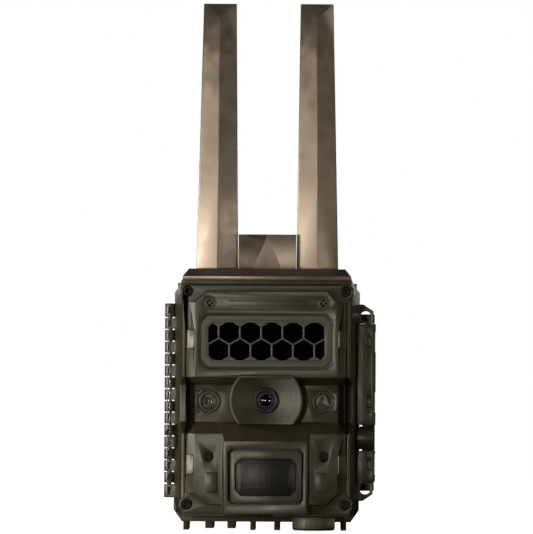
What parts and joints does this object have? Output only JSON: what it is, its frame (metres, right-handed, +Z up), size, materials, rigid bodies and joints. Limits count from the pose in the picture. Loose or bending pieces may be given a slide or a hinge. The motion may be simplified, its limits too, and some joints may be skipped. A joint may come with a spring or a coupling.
{
  "type": "trail camera",
  "caption": "Rugged cellular trail camera with a hinged front half, side latch, honeycomb infrared window, hooded lens, motion sensor block and paddle antennas.",
  "frame": {"origin": "under the middle of the camera's bounding box, at the foot ribs", "axes": "+Z up; the front faces -Y; +X is to the right seen from the front, towards the latch"},
  "size_m": [0.113, 0.0774, 0.2815],
  "materials": {
    "olive_shell": "matte",
    "brown_cap": "satin",
    "black_plastic": "satin",
    "dark_window": "gloss",
    "motion_lens": "satin",
    "clear_plastic": "gloss",
    "optical_glass": "gloss",
    "rubber_seal": "matte",
    "steel_pin": "satin",
    "black_screw": "satin",
    "brass_insert": "satin",
    "spring_steel": "gloss",
    "cell_jacket": "gloss",
    "circuit_board": "satin",
    "shield_metal": "satin",
    "chip_black": "matte",
    "grey_control": "matte"
  },
  "bodies": {
    "rear_half": {"rear_housing": "olive_shell", "hinge_pin": "steel_pin", "housing_gasket": "rubber_seal", "lock_tube": "olive_shell", "latch_pin": "steel_pin", "tripod_insert": "brass_insert", "battery_tray": "black_plastic", "battery_cells": "cell_jacket", "battery_contacts": "spring_steel", "battery_springs": "spring_steel"},
    "front_half": {"antenna_bridge": "brown_cap", "antenna_elements": "brass_insert", "antenna_left": "brown_cap", "antenna_right": "brown_cap", "button_switches": "chip_black", "card_slot": "shield_metal", "cellular_module": "shield_metal", "cover_screws": "black_screw", "display": "dark_window", "display_window": "clear_plastic", "filter_track": "black_plastic", "front_cover": "olive_shell", "front_housing": "olive_shell", "front_lens": "optical_glass", "image_sensor": "chip_black", "inner_panel": "black_plastic", "ir_board": "circuit_board", "ir_emitters": "clear_plastic", "ir_grille": "olive_shell", "ir_window": "dark_window", "lens_barrel": "black_plastic", "lens_elements": "optical_glass", "lens_hood": "olive_shell", "lens_ring": "black_plastic", "light_sensor_lens": "clear_plastic", "main_board": "circuit_board", "microphone": "shield_metal", "name_bar": "olive_shell", "pir_frame": "olive_shell", "pir_lens": "motion_lens", "pir_sensor": "shield_metal", "power_jack": "black_plastic", "shield_can": "shield_metal", "sim_slot": "shield_metal", "sound_grilles": "black_plastic", "speaker": "shield_metal", "status_light": "clear_plastic", "top_cap": "brown_cap"},
    "latch": {"latch": "olive_shell"},
    "port_plug": {"port_plug": "olive_shell", "plug_seal": "rubber_seal"},
    "menu_button": {"menu_button": "grey_control"},
    "down_button": {"down_button": "grey_control"},
    "up_button": {"up_button": "grey_control"},
    "ok_button": {"ok_button": "grey_control"},
    "power_switch": {"power_switch": "grey_control"},
    "memory_card": {"memory_card": "chip_black"},
    "sim_card": {"sim_card": "chip_black"},
    "ircut_filter": {"ircut_filter": "optical_glass"}
  },
  "joints": [
    {"name": "front_swing", "type": "hinge", "parent": "rear_half", "child": "front_half", "pos_m": [-0.05378, -0.0013, 0.0697], "axis": [0, 0, -1], "range_deg": [0, 150]},
    {"name": "latch_turn", "type": "hinge", "parent": "rear_half", "child": "latch", "pos_m": [0.05287, 0.0117, 0.0686], "axis": [0, 0, 1], "range_deg": [0, 95]},
    {"name": "port_plug_turn", "type": "hinge", "parent": "front_half", "child": "port_plug", "pos_m": [0.02372, -0.0153, 0.00085], "axis": [0, 0, 1], "range_deg": [0, 90]},
    {"name": "menu_button_press", "type": "slide", "parent": "front_half", "child": "menu_button", "axis": [0, -1, 0], "range_m": [0, 0.0006], "stiffness_N_per_m": 300},
    {"name": "down_button_press", "type": "slide", "parent": "front_half", "child": "down_button", "axis": [0, -1, 0], "range_m": [0, 0.0006], "stiffness_N_per_m": 300},
    {"name": "up_button_press", "type": "slide", "parent": "front_half", "child": "up_button", "axis": [0, -1, 0], "range_m": [0, 0.0006], "stiffness_N_per_m": 300},
    {"name": "ok_button_press", "type": "slide", "parent": "front_half", "child": "ok_button", "axis": [0, -1, 0], "range_m": [0, 0.0006], "stiffness_N_per_m": 300},
    {"name": "power_switch_slide", "type": "slide", "parent": "front_half", "child": "power_switch", "axis": [1, 0, 0], "range_m": [0, 0.008]},
    {"name": "memory_card_slide", "type": "slide", "parent": "front_half", "child": "memory_card", "axis": [1, 0, 0], "range_m": [0, 0.006]},
    {"name": "sim_card_slide", "type": "slide", "parent": "front_half", "child": "sim_card", "axis": [-1, 0, 0], "range_m": [0, 0.005]},
    {"name": "ircut_filter_slide", "type": "slide", "parent": "front_half", "child": "ircut_filter", "axis": [-1, 0, 0], "range_m": [0, 0.007]}
  ]
}
